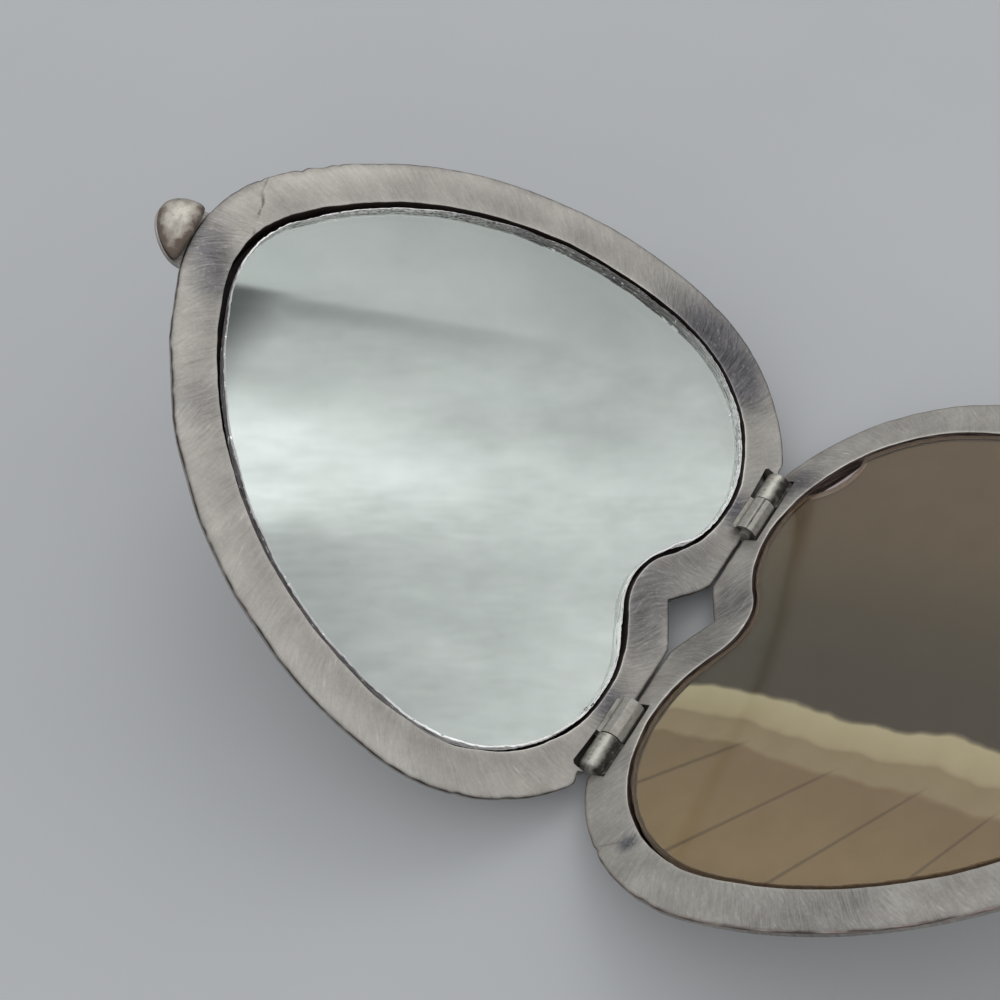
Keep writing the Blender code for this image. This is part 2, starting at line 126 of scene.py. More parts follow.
def closed_shell(name, leaf, rings, ends, along, across, **shares):
    """Closed surface over rings of points, each ring joined to the next, with a fan round a point at both ends.
    The UV map "worked" holds the millimetres along and across, and each of the shares is kept as an attribute."""
    rows, count = rings.shape[:2]
    points = np.vstack((ends[0], rings.reshape(-1, 3), ends[1]))
    ring = np.arange(1, rows * count + 1).reshape(rows, count)
    after = np.roll(ring, -1, axis=1)
    quads = np.stack((ring[:-1], after[:-1], after[1:], ring[1:]), -1).reshape(-1, 4)
    first = np.stack((np.zeros(count, int), after[0], ring[0]), -1)
    last = np.stack((np.full(count, rows * count + 1), ring[-1], after[-1]), -1)
    mesh = bpy.data.meshes.new(name)
    mesh.from_pydata(on_leaf(points, leaf).tolist(), [], quads.tolist() + first.tolist() + last.tolist())
    here, there = along[:-1], along[1:]
    spread = np.broadcast_to(across, (rows, count))
    beside = np.roll(spread, -1, axis=1)
    u = np.broadcast_to(np.stack((here, there, there, here), -1), (rows - 1, count, 4)).reshape(-1)
    v = np.stack((spread[:-1], beside[:-1], beside[1:], spread[1:]), -1).reshape(-1)
    fan_u = np.concatenate((np.stack((here, there, here), -1), np.stack((here, here, there), -1))).reshape(-1)
    fan_v = np.concatenate((np.repeat(spread[0], 3), np.repeat(spread[-1], 3)))
    worked = np.stack((np.concatenate((u, fan_u)), np.concatenate((v, fan_v))), -1)
    mesh.uv_layers.new(name="worked").data.foreach_set("uv", worked.astype(np.float32).ravel())
    for share, values in shares.items():
        grid = np.broadcast_to(values, (rows, count))
        flat = np.concatenate(([grid[0].mean()], grid.ravel(), [grid[-1].mean()]))
        mesh.attributes.new(share, "FLOAT", "POINT").data.foreach_set("value", flat.astype(np.float32))
    mesh.validate()
    mesh.shade_smooth()
    mesh.set_sharp_from_angle(angle=math.radians(38.0))
    return new_object(name, mesh)


def hinge_crossing(point, out):
    """The x where the line straight in from the outer edge meets the hinge edge."""
    return point[:, 0] - (point[:, 1] - HINGE_EDGE) / out[:, 1] * out[:, 0]


def slot_floor(along, y, leaf):
    """Height of the floor of the hinge slots. A flat seat holds the leaf's own knuckle, and a round hollow on the
    hinge axis, at -sqrt(radius^2 - y^2), clears the other leaf's. Anywhere else the floor is far above the rim."""
    near, far = SEATS[leaf]
    seat = np.where((along > near) & (along < far) & (y < SEAT_REACH), SEAT_LEVEL, ABOVE)
    near, far, near_radius, far_radius = POCKETS[leaf]
    radius = np.interp(along, (near, far), (near_radius, far_radius))
    inside = (along > near) & (along < far) & (y < radius)
    return np.minimum(seat, np.where(inside, -np.sqrt(np.clip(radius**2 - y**2, 0, None)), ABOVE))


def bowl(inset):
    """Height of the back: flat inside BACK_INSET, and outside it a rise by the square up to the edge wall."""
    share = np.clip(1 - inset / BACK_INSET, 0, 1)
    return RIM_LEVEL - LEAF_DEPTH + (LEAF_DEPTH - EDGE_WALL) * share**2


def bead_frame():
    """Point of the outer edge that the bead stands at, the direction along the edge and the one straight out."""
    out = np.array((-math.sin(BEAD_ANGLE), math.cos(BEAD_ANGLE)))
    tip = heart_edge(np.array([0.5]))[0][0] - (0.0, TIP_RADIUS)
    return tip + TIP_RADIUS * out, np.array((out[1], -out[0])), out


def casting_stations(leaf):
    """Places round the edge: even steps, with a pair a hair apart at each end of each slot, and closer together
    where the lug's outline turns."""
    fine = np.linspace(0.0, 0.25, 20001)
    point, out, reach = heart_edge(fine)
    lobe = (point[:, 1] < HINGE_EDGE) & (fine > 0.012)
    ends = np.unique(SEATS[leaf] + POCKETS[leaf][:2])
    marks = np.interp(ends, hinge_crossing(point, out)[lobe], fine[lobe])
    pairs = np.concatenate((marks - HAIR, marks + HAIR))
    pairs = np.concatenate((pairs, 1 - pairs))
    even = np.arange(STATIONS) / STATIONS
    even = even[np.abs(even[:, None] - pairs).min(1) > 3 * HAIR]
    if leaf == "mirror_leaf":
        middle = 0.5 + BEAD_ANGLE * TIP_RADIUS / reach
        lug = middle - np.arcsin(LUG_HALF * np.cos(np.linspace(0, np.pi, 61)) / TIP_RADIUS) * TIP_RADIUS / reach
        even = np.concatenate((even[(even < lug.min() - HAIR) | (even > lug.max() + HAIR)], lug))
    return np.sort(np.concatenate((even, pairs)))


def edge_wear(leaf, along):
    """How far wear and filing take the outer edge in: gentle waves, a few nicks by place and size, and filed flats,
    each of which cuts (half length^2 - distance^2) / (2 * radius) off the curve."""
    seed = 3 if leaf == "mirror_leaf" else 8
    nicks = {"mirror_leaf": ((88.2, 0.16, 0.4), (86.0, 0.20, 0.8), (84.3, 0.10, 0.3), (92.6, 0.10, 0.3),
                             (163.4, 0.12, 0.4), (168.0, 0.10, 0.7), (175.2, 0.22, 0.4), (41.0, 0.08, 0.5)),
             "picture_leaf": ((29.7, 0.14, 0.4), (38.0, 0.12, 0.8), (174.2, 0.34, 0.9), (163.0, 0.12, 0.7))}[leaf]
    flats = {"mirror_leaf": ((109.6, 3.0), (116.6, 3.9), (126.0, 3.0), (140.0, 2.8), (80.5, 2.4), (61.0, 3.0)),
             "picture_leaf": ((160.0, 3.0), (35.0, 2.4), (52.0, 3.0), (94.7, 3.8))}[leaf]
    worn = 0.04 + 0.03 * waves(along, 0.0, 9.0, seed) + 0.014 * waves(along, 0.0, 1.6, seed + 1)
    for place, half in flats:
        worn += np.clip(half**2 - (along - place) ** 2, 0, None) / 86.0
    for place, depth, width in nicks:
        worn += depth * bump(along - place, width)
    return np.clip(worn, 0.0, None)


def casting(leaf, tarnish_marks):
    """Rings of one casting, from the middle of the back out to the edge, over the rim and down into the well."""
    way = casting_stations(leaf)
    point, out, reach = heart_edge(way)
    (x, y), (out_x, out_y) = point.T, out.T
    arc = way * reach
    mirror = leaf == "mirror_leaf"
    in_zone = y < HINGE_ZONE
    lobe_low = (y < HINGE_EDGE) & (np.abs(x) > 2.0)
    cut = np.where(lobe_low, (y - HINGE_EDGE) / np.where(lobe_low, out_y, 1.0), 0.0)
    column = np.abs(x - cut * out_x)
    cleft_out = heart_edge(np.array([0.0]))[0][0, 1]
    in_cleft = (np.abs(x) < CLEFT_RADIUS) & (y < cleft_out + 0.01) & (y > 0)
    start = math.asin(LOBE_X / (LOBE_RADIUS + CLEFT_RADIUS))
    lean = np.abs(np.abs(np.arctan2(out_x, -out_y)) - start)
    mitre = CLEFT_RADIUS / np.cos(np.where(in_cleft & (lean < start), lean, 0.0)) - CLEFT_RADIUS
    near_hinge = np.where(in_zone, np.interp(column, (2, 5, 21, 26), (0, 1, 1, 0)), 0.0)
    edge = np.maximum(cut, mitre) + edge_wear(leaf, arc) * (1 - near_hinge)
    edge += np.where(x < 0, 0.8, 0.4) * bump(column - 20.15, 0.55) * in_zone * mirror
    for _ in range(30):
        low = slot_floor(column, y - edge * out_y, leaf)
        edge += 0.03 * (bowl(edge) + 0.1 > low)

    origin, lug_x, lug_out = bead_frame()
    place = (point - origin) @ lug_x / LUG_HALF
    on_lug = (np.abs(place) <= 1.0001) & (y > TIP_ZONE) & mirror
    swell = (1 + 0.3 * place) / 1.3
    bulge = 0.1 + LUG_REACH * swell * np.sqrt(np.clip(1 - place**2, 0, 1)) - (point - origin) @ lug_out
    bulge = np.where(on_lug, bulge, 0.0)
    edge = np.where(on_lug, 0.0, edge)

    roll_size = EDGE_ROUND * (1 - 0.7 * near_hinge)
    top = np.minimum(RIM_LEVEL - roll_size, slot_floor(column, np.where(in_zone, HINGE_EDGE, ABOVE), leaf))
    base = bowl(edge)
    rise = top - base
    outermost = np.where(on_lug, 0.56, edge + 0.3)
    back = np.stack([np.full_like(edge, inset) for inset in (13.0, 11.0)]
                    + [BACK_INSET + (outermost - BACK_INSET) * step / 13 for step in range(14)])
    insets = list(back)
    heights = list(bowl(back))
    lifts = [np.zeros_like(edge)] * len(back)
    for lug_in, lug_z, share in ((LUG_ROUND, LUG_BOTTOM, 0.0), (0.0, LUG_BOTTOM + LUG_ROUND, 0.2),
                                 (0.0, LUG_TOP - LUG_ROUND, 0.4), (LUG_ROUND, LUG_TOP, 0.6), (9.0, LUG_TOP, 0.8)):
        insets.append(edge)
        heights.append(np.where(on_lug, lug_z, base + rise * share))
        lifts.append(np.clip(bulge - lug_in, 0, None))
    outer = point[None] - np.stack(insets)[..., None] * out + np.stack(lifts)[..., None] * lug_out
    sunk = 0.02 + 0.02 * np.clip(waves(outer[..., 0], outer[..., 1], 7.0, 11), -1, 1)
    outer_z = np.stack(heights) + sunk * (np.stack(insets) > 1.5)

    seed = 21 if mirror else 27
    inner_wave = 0.04 * waves(arc, 0.0, 6.0, seed) + 0.012 * waves(arc, 0.0, 1.5, seed + 1)
    verge = point - edge[:, None] * out
    rim_width = RIM_WIDTH[leaf]
    lip = point - (rim_width - LIP_ROUND + inner_wave)[:, None] * out
    width = np.linalg.norm(lip - verge, axis=1)
    near, far, near_radius, far_radius = POCKETS[leaf]
    radius = np.interp(column, (near, far), (near_radius, far_radius))
    shelf_y = np.where((column > near) & (column < far), np.sqrt(radius**2 - RIM_LEVEL**2), SEAT_REACH)
    seat_near, seat_far = SEATS[leaf]
    shelf_y = np.where((column > seat_near) & (column < seat_far), np.maximum(shelf_y, SEAT_REACH), shelf_y)
    bend = np.where(in_zone, np.interp(column, (6, 10, 19.9, 24), (0, 1, 1, 0)), 0.0)
    reach_y = np.where(bend > 0, lip[:, 1] - verge[:, 1], 1.0)
    shelf = np.where(bend > 0, np.clip((shelf_y - verge[:, 1]) / reach_y, 0.12, 0.9), 0.33)
    shelf = 0.33 + (shelf - 0.33) * bend
    begin = roll_size / width
    steps = [roll_size * (1 - math.cos(math.radians(turn))) / width for turn in (0, 30, 60)]
    steps += [begin + (shelf - 0.004 - begin) * step / 8 for step in range(9)]
    steps += [shelf + 0.004 + (1 - shelf - 0.004) * step / 17 for step in range(18)]
    share = np.stack(steps)
    late = np.clip((share - shelf) / (1 - shelf), 0, 1)
    sideways = share + (late - share) * bend
    rim = verge + np.stack((sideways, share), -1) * (lip - verge)
    inward = share * width
    from_edge = np.clip(inward, 0, roll_size)
    roll = roll_size - np.sqrt(np.clip(roll_size**2 - (roll_size - from_edge) ** 2, 0, None))
    rim_x, rim_y = rim[..., 0], rim[..., 1]
    uneven = 0.03 * waves(rim_x, rim_y, 9.0, seed + 2) + 0.004 * waves(rim_x, rim_y, 2.2, seed + 3)
    crown = 0.05 * np.clip(share * (1 - share) * 4, 0, 1) - 0.05
    burr = 0.14 * bump(arc - 155.5, 1.8) * bump((1 - share) * width, 0.45) * mirror
    beside_crack = (rim_x - 3.7 - (rim_y - 55.6) * 1.98) / 2.2
    beside_crack -= 0.12 * waves(rim_y, 0.0, 1.0, 91) + 0.05 * waves(rim_y, 0.0, 0.3, 92)
    crack = 0.02 * bump(beside_crack, 0.09) * (rim_y > TIP_ZONE) * mirror
    scratch = bump(arc - 29.4 - 0.5 * inward, 0.1) * (inward < 2.4) * (not mirror)
    calm = np.clip(inward / 0.6, 0, 1)
    rim_z = RIM_LEVEL - roll + (uneven + crown) * calm + burr - crack - 0.02 * scratch
    floor = slot_floor(column, rim_y, leaf)
    in_slot = (floor < rim_z) * 1.0
    rim_z = np.minimum(rim_z, floor)

    depth = RIM_LEVEL - WELL_DEPTH[leaf]
    lip_z = rim_z[-1]
    insets, heights = [], []
    for turn in (30, 60, 90):
        angle = math.radians(turn)
        insets.append(rim_width - LIP_ROUND * (1 - math.sin(angle)) + inner_wave)
        heights.append(lip_z - LIP_ROUND * (1 - math.cos(angle)))
    for inset, height in ((0.0, lip_z - LIP_ROUND - 0.03), (0.0, RIM_LEVEL - 0.6), (0.0, RIM_LEVEL - 1.8),
                          (0.02, depth + 0.1), (0.12, depth), (3.0, depth), (7.0, depth)):
        insets.append(np.full_like(edge, rim_width + inset) + (inner_wave if inset < 1 else 0.0))
        heights.append(np.full_like(edge, height))
    well = point[None] - np.stack(insets)[..., None] * out
    well_z = np.stack(heights)

    rings = np.concatenate((np.concatenate((outer, rim, well)),
                            np.concatenate((outer_z, rim_z, well_z))[..., None]), -1)
    first, last = len(outer), len(outer) + len(rim)
    across = np.full(rings.shape[:2], -1.0)
    across[first:last], across[last:] = inward + edge, rim_width
    # Painted shade: the hinge slots are darkened, most at their ends, a dark line runs round the outer edge, and the
    # crack is darkened along its length; the scratch is darkened as a mark of its own.
    slot_end = np.where(column > (near + far) / 2, far, near)
    in_slot = in_slot * (0.12 + 0.88 * bump(column - slot_end, 0.4))
    edge_line = 1.2 * bump(inward, 0.15) * (0.85 + 0.2 * waves(arc, 0.0, 1.7, seed + 5))
    crack_line = bump(beside_crack, 0.09) * (crack > 0.001)
    crack_line *= np.clip(0.42 + 0.45 * waves(rim_y, 0.0, 1.4, 93), 0, 1)
    # The outer wall is painted a little darker as shade, and the deep well is dark with patina and painted shade.
    grime = np.full(rings.shape[:2], 0.08)
    grime[first - 4:first] = 0.15
    grime[first:last] = np.maximum.reduce((in_slot, edge_line, crack_line, 0.5 * scratch))
    grime[last:last + 3], grime[last + 3:] = 0.0, 1.0
    # Lighter in two rubbed stretches of the mirror leaf's rim, and along the inner lip, which is burnished and
    # carries a painted highlight.
    rubbed = (0.16 * bump(arc - 141, 17.0) + 0.22 * bump(arc - 84, 5.0)) * mirror
    worn = np.zeros(rings.shape[:2])
    worn[first:last] = rubbed + 0.3 * bump((1 - share) * width, 0.15)
    worn[last:last + 2] = 0.7
    # Painted shade: darker, bluish patches beside the knuckles, by the bead and on the flanks, kept off the lower
    # walls.
    tarnish = np.zeros(rings.shape[:2])
    for mark_x, mark_y, size, strength in tarnish_marks:
        tarnish += strength * bump(np.hypot(rings[..., 0] - mark_x, rings[..., 1] - mark_y), size)
    tarnish = np.clip(tarnish * (rings[..., 2] > SHADE_PATCH_LOW), 0, 1)
    piece = closed_shell(leaf.replace("_leaf", "_rim_casting"), leaf, rings,
                         ((*MIDDLE, RIM_LEVEL - LEAF_DEPTH), (*MIDDLE, depth)), np.append(arc, reach), across,
                         grime=np.clip(grime, 0, 1), worn=worn, tarnish=tarnish)
    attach(piece, leaf)
    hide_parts(leaf + "_casting")
    return piece


def colour(code):
    """Linear colour of an sRGB hex value."""
    share = np.array([int(code[at:at + 2], 16) for at in (1, 3, 5)]) / 255
    linear = np.where(share <= 0.04045, share / 12.92, ((share + 0.055) / 1.055) ** 2.4)
    return (*linear.tolist(), 1.0)


def add_node(tree, kind, sockets=(), out=0, **settings):
    """Adds one node with its settings, gives each socket a value, a hex colour or the output that feeds it, and
    returns one of the node's outputs, if it has any. The kind of a sum ends with its operation, and that of a mix
    with its data type. The sockets are a tuple in the node's own order, or named or numbered one by one. Each
    material keeps this helper, with its own tree filled in, under the name node."""
    kind, *choice = kind.split()
    made = tree.nodes.new("ShaderNode" + kind)
    for value in choice:
        setattr(made, "data_type" if kind == "Mix" else "operation", value)
    for name, value in settings.items():
        setattr(made, name, value)
    for key, value in enumerate(sockets) if isinstance(sockets, tuple) else sockets.items():
        if isinstance(value, bpy.types.NodeSocket):
            tree.links.new(value, made.inputs[key])
        else:
            made.inputs[key].default_value = colour(value) if isinstance(value, str) else value
    return made.outputs[out] if made.outputs else None


def tone_along(node, value, stops):
    """Goes through the stops as value rises, each a value and the tone or hex colour it has there."""
    low, high = stops[0][0], stops[-1][0]
    ramp = node("ValToRGB", (node("MapRange", (value, low, high)),))
    elements = ramp.node.color_ramp.elements
    while len(elements) < len(stops):
        elements.new(0.5)
    for element, (at, tone) in zip(elements, stops):
        element.position = (at - low) / (high - low)
        element.color = colour(tone) if isinstance(tone, str) else (tone, tone, tone, 1.0)
    return ramp


def grain(node, place, size, detail, roughness=0.5, slant=0.0):
    """Noise in grains of about the given size, which is one length or a length along each axis, turned by slant."""
    drawn = node("Mapping", {"Vector": place, "Rotation": (0, 0, slant),
                             "Scale": np.broadcast_to(size, 3).tolist()}, vector_type="TEXTURE")
    return node("TexNoise", {"Vector": drawn, "Scale": 1.0, "Detail": detail, "Roughness": roughness})


def new_material(name):
    """Empty material, and the helper that adds nodes to it."""
    material = bpy.data.materials.new(name)
    material.use_nodes = True
    material.node_tree.nodes.clear()
    return material, functools.partial(add_node, material.node_tree)


def leaf_place(node, leaf):
    """Millimetres in a leaf's own frame, from Object coordinates."""
    turned = (LEAN, 0.0, 0.0 if leaf == "mirror_leaf" else math.pi)
    here = node("TexCoord", out="Object")
    return node("Mapping", {"Vector": here, "Location": HINGE.tolist(), "Rotation": turned,
                            "Scale": (0.001, 0.001, 0.001)}, vector_type="TEXTURE")


def brushed_pewter(leaf, across, hollow, streak):
    """Dressed cast pewter: warm grey and cloudy in patches of 3 to 8 mm, with strokes of abrasive that cross the rim
    at a slant, each about 0.15 mm wide and 3 mm long, and on the back run straight over it. Handling has rubbed most
    of them faint. across lists the tone from the outer edge to the well. Patches of painted shade make the metal
    darker and bluish in streaks and keep the strokes sharp, with lighter flecks left in them. The metal is lighter
    in rubbed stretches and along the inner lip, which is burnished and carries a painted highlight. The well keeps a
    dark patina, streaked down its wall in the colours hollow and streak, and the same colours are painted as shade
    into the hinge slots, along the crack, in a line round the outer edge and on the outer wall."""
    material, node = new_material("dressed pewter " + leaf)
    place = leaf_place(node, leaf)
    worked = node("UVMap", uv_map="worked")
    depth = node("SeparateXYZ", (place,), out=2)
    on_back = node("MapRange", (depth, -1.1, -1.4))
    drawn = node("Mix VECTOR", {0: on_back, 4: worked, 5: place}, out=1)
    fine = grain(node, drawn, (0.16, 3.0, 1), 3.0, 0.65, 0.40)
    coarse = grain(node, drawn, (0.22, 2.2, 1), 3.0, 0.65, 0.75)
    cloud = grain(node, place, 3.5, 4.0, 0.55)
    which = node("MapRange", (cloud, 0.42, 0.58))
    stroke = node("Mix FLOAT", {0: which, 2: fine, 3: coarse})
    speck = grain(node, place, 0.3, 3.0, 0.6)
    inward = node("SeparateXYZ", (worked,), out=1)
    wander = node("Math MULTIPLY_ADD", (cloud, 1.6, inward))
    tone = tone_along(node, wander, [(0.8 + millimetres, share) for millimetres, share in across])
    tarnish, worn, grime = (node("Attribute", out="Fac", attribute_name=share)
                            for share in ("tarnish", "worn", "grime"))
    broad = grain(node, drawn, (0.45, 4.5, 1), 4.0, 0.7, 0.45)
    cuts = node("Math MULTIPLY_ADD", (broad, 0.9, stroke))
    cuts = node("Math SUBTRACT", (cuts, 0.95))
    fresh = node("MapRange", (tarnish, 0.0, 0.6, 0.35, 1.35))
    tone = node("Math MULTIPLY_ADD", (cuts, fresh, tone))
    hairs = node("MapRange", (coarse, 0.64, 0.74, 0.0, 0.3))
    tone = node("Math ADD", (hairs, tone))
    # Lighter with cloud and specks, and where the mesh marks rubbed stretches and the lip's painted highlight.
    for share, source in ((0.5, cloud), (0.22, speck), (0.45, worn)):
        tone = node("Math MULTIPLY_ADD", (source, share, tone))
    tone = node("Math SUBTRACT", (tone, 0.36), use_clamp=True)
    metal = node("Mix RGBA", {0: tone, 6: "#6F6B67", 7: "#DCD8D0"}, out=2)
    # The darker, bluish colour of the painted shade patches.
    duller = node("Mix RGBA", {0: tone, 6: "#2C2B2F", 7: "#908E91"}, out=2)
    uneven = node("Math MULTIPLY_ADD", (broad, 0.9, tarnish))
    veil = node("MapRange", (uneven, 0.60, 1.30))
    fleck = node("MapRange", (speck, 0.60, 0.70, 1.0, 0.6))
    veil = node("Math MULTIPLY", (veil, fleck))
    metal = node("Mix RGBA", {0: veil, 6: metal, 7: duller}, out=2)
    down_wall = node("CombineXYZ", (node("SeparateXYZ", (worked,)), depth))
    drip = node("MapRange", (grain(node, down_wall, (1 / 0.35, 1 / 8.4, 1), 3.0, 0.6), 0.48, 0.66))
    patina = node("Mix RGBA", {0: drip, 6: hollow, 7: streak}, out=2)
    # Patina in the well, and painted shade in the slots, the crack, the outer edge line and the outer wall, in the
    # same dark colours.
    metal = node("Mix RGBA", {0: grime, 6: metal, 7: patina}, out=2)
    shine = node("MapRange", (grime, 0.3, 1.0, 1.0, 0.3))
    rough = node("MapRange", (tone, 0.2, 0.9, 0.52, 0.40))
    height = node("Math MULTIPLY_ADD", (speck, 0.5, stroke))
    normal = node("Bump", {"Height": height, "Distance": 0.00002, "Strength": 0.3})
    shader = node("BsdfPrincipled", {"Base Color": metal, "Metallic": shine, "Roughness": rough, "Normal": normal})
    node("OutputMaterial", (shader,))
    return material


# Patches of painted shade on each rim: x, y and size in millimetres, and strength.
mirror_casting = casting("mirror_leaf", (
    (26.5, 13.0, 5.2, 1.1), (25.0, 8.0, 3.2, 0.5), (27.5, 20.0, 4.5, 0.3), (-0.5, 4.7, 4.5, 0.6),
    (6.0, 2.5, 3.0, 0.4), (-5.4, 2.8, 3.0, 0.4), (-16.3, 47.7, 3.5, 0.35), (13.0, 2.3, 2.4, 0.9),
    (-12.6, 2.0, 2.4, 0.8), (-3.0, 56.7, 2.8, 0.7), (-5.8, 53.6, 2.7, 0.62)))
mirror_casting.data.materials.append(brushed_pewter("mirror_leaf", (
    (0.0, 0.46), (0.6, 0.55), (1.4, 0.54), (2.4, 0.48), (3.3, 0.44), (3.8, 0.46), (4.3, 0.5)), "#1E1614", "#3A2C28"))
picture_casting = casting("picture_leaf", (
    (-2.8, 3.5, 4.0, 0.6), (4.0, 3.5, 3.0, 0.4), (-19.1, 2.1, 2.5, 0.8), (-11.0, 3.1, 2.0, 0.4),
    (16.9, 4.2, 2.0, 0.6), (25.3, 8.1, 1.0, 1.0), (28.4, 28.6, 7.0, 0.35)))
# The picture leaf's rim is given lower tones than the mirror leaf's, as painted shade for the way that leaf faces.
picture_casting.data.materials.append(brushed_pewter("picture_leaf", (
    (0.0, 0.38), (0.8, 0.40), (1.8, 0.42), (2.6, 0.41), (3.5, 0.42), (4.3, 0.40)), "#40342F", "#8F7F78"))

# Mirror: a heart of 1.25 mm float glass, its sides ground by hand and left chipped, silvered on its back. It lies
# in the well on a pad of glue, nearly flush with the rim, and the gap round it is widest at the tip.
GLASS_INSET, GLASS_TRIM = 4.6, 0.6
GLASS_TOP, GLASS_BOTTOM = -0.28, -1.53


def glass_heart():
    """Rings of the glass, from the middle of its back up the ground side to the middle of its face. The side is
    rippled by waves that run long along it and short up it, a few chips eat into its upper corner, and the cleft
    is cut back at either side of its middle."""
    way = np.arange(1000) / 1000
    point, out, reach = heart_edge(way, GLASS_TRIM)
    arc = way * reach
    thick = GLASS_TOP - GLASS_BOTTOM
    rows = [(6.0, 0.0, 0), (1.5, 0.0, 0), (0.06, 0.0, 0.3)]
    rows += [(0.0, height, 1) for height in np.linspace(0.04, thick - 0.11, 15)]
    rows += [(0.05, thick - 0.07, 0.9), (0.13, thick - 0.01, 0.8), (0.16, thick, 0.8), (0.35, thick, 0),
             (1.5, thick, 0), (6.0, thick, 0)]
    rings = []
    for inward, height, share in rows:
        ground = 0.05 + 0.045 * waves(arc / 9.0, height, 0.5, 31) + 0.02 * waves(arc / 3.0, height, 0.3, 35)
        chip = 0.10 * np.clip(waves(arc, 0.0, 1.1, 33) - 0.9, 0, 1) * bump(height - thick, 0.2)
        hollow = 0.32 * (bump(arc - 3.2, 2.0) + bump(reach - arc - 3.8, 2.5)) * (inward < 0.5)
        inset = GLASS_INSET + inward + hollow + np.clip((ground + chip) * share, 0, None)
        xy = point - inset[:, None] * out
        rings.append(np.column_stack((xy, np.full(len(way), GLASS_BOTTOM + height))))
    ends = ((*MIDDLE, GLASS_BOTTOM), (*MIDDLE, GLASS_TOP))
    across = np.array(rows)[:, 1:2]
    return closed_shell("mirror_glass_heart", "mirror_leaf", np.stack(rings), ends, np.append(arc, reach), across)


def mirror_materials():
    """Float glass: clear, faintly green. Ground glass: fine bright and dark lines that the wheel left along the
    side, rougher where it was nipped off, and chips. Along the edge it is painted light and shade, white by the
    cleft and dark brown along the flanks, with a painted highlight on its upper corner. It gives out a little light,
    which stands for what the glass gathers at its cut edge. Silvering: the metal film seen through the glass, a
    little dull and cloudy from age."""
    glass, node = new_material("float glass")
    shader = node("BsdfPrincipled", {"Base Color": "#F7FBF8", "Roughness": 0.0, "IOR": 1.5,
                                     "Transmission Weight": 1.0})
    node("OutputMaterial", (shader,))
    ground, node = new_material("ground glass")
    worked = node("UVMap", uv_map="worked")
    along, height = (node("SeparateXYZ", (worked,), out=axis) for axis in (0, 1))
    lines = grain(node, worked, (1 / 0.30, 1 / 7.0, 1), 5.0, 0.6)
    tone = node("MapRange", (lines, 0.38, 0.50))
    # Painted light and shade along the edge: brightest by the cleft, dark along the flanks.
    level = tone_along(node, along, (
        (0.0, 1.8), (10.0, 1.7), (22.0, 1.2), (36.0, 0.45), (46.0, 0.08), (63.0, 0.2), (76.0, 0.7), (96.0, 0.6),
        (108.0, 0.2), (150.0, 0.25), (168.0, 0.9), (178.0, 1.3), (190.0, 1.8)))
    rough = node("MapRange", (grain(node, worked, (1 / 1.6, 1 / 3.2, 1), 4.0, 0.7), 0.44, 0.56))
    broken = tone_along(node, along, ((0.0, 0.6), (24.0, 0.4), (40.0, 0.1), (58.0, 0.8), (78.0, 0.8), (92.0, 0.1)))
    tone = node("Mix FLOAT", {0: broken, 2: tone, 3: rough})
    tone = node("Math MULTIPLY", (tone, level))
    # Painted highlight along the upper corner.
    corner = node("MapRange", (height, 1.10, 1.16, 0.0, 1.5))
    corner = node("Math MULTIPLY", (corner, level))
    tone = node("Math MAXIMUM", (tone, corner))
    chips = node("MapRange", (grain(node, worked, (1 / 1.1, 1 / 3.0, 1), 3.0, 0.7), 0.60, 0.66))
    tone = node("Math MAXIMUM", (tone, chips))
    milk = node("Mix RGBA", {0: tone, 6: "#2A2020", 7: "#FFFFFF"}, out=2)
    shader = node("BsdfPrincipled", {"Base Color": milk, "Roughness": 0.35, "Metallic": 0.35,
                                     "Emission Color": milk, "Emission Strength": 0.28})
    node("OutputMaterial", (shader,))
    silver, node = new_material("silvering")
    cloud = grain(node, leaf_place(node, "mirror_leaf"), 9.0, 4.0, 0.6)
    tone = node("MapRange", (cloud, 0.35, 0.65))
    film = node("Mix RGBA", {0: tone, 6: "#E2E7E4", 7: "#EAEEEB"}, out=2)
    node("OutputMaterial", (node("BsdfPrincipled", {"Base Color": film, "Metallic": 1.0, "Roughness": 0.02}),))
    return glass, ground, silver


def out_of_leaf(piece, side):
    """How straight each face looks out of its leaf, from 1 at the front to -1 at the back."""
    facing = np.zeros(len(piece.data.polygons) * 3, np.float32)
    piece.data.polygons.foreach_get("normal", facing)
    return facing.reshape(-1, 3) @ (0.0, -side * math.sin(LEAN), math.cos(LEAN))


mirror = glass_heart()
for material in mirror_materials():
    mirror.data.materials.append(material)
upward = out_of_leaf(mirror, 1)
mirror.data.polygons.foreach_set("material_index", np.where(upward > 0.85, 0, np.where(upward < -0.85, 2, 1)))
mirror.data.polygons.foreach_set("use_smooth", np.abs(upward) < 0.85)
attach(mirror, "mirror_leaf")
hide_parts("mirror_glass")

# Glue pad of the mirror and backing pad of the picture: dried contact glue, and a heart of grey pressed card.
# Each fills its well under what it carries, so only its own material shows it, at an edge.
SNIP_AT, SNIP_HALF = 172.6, 4.4


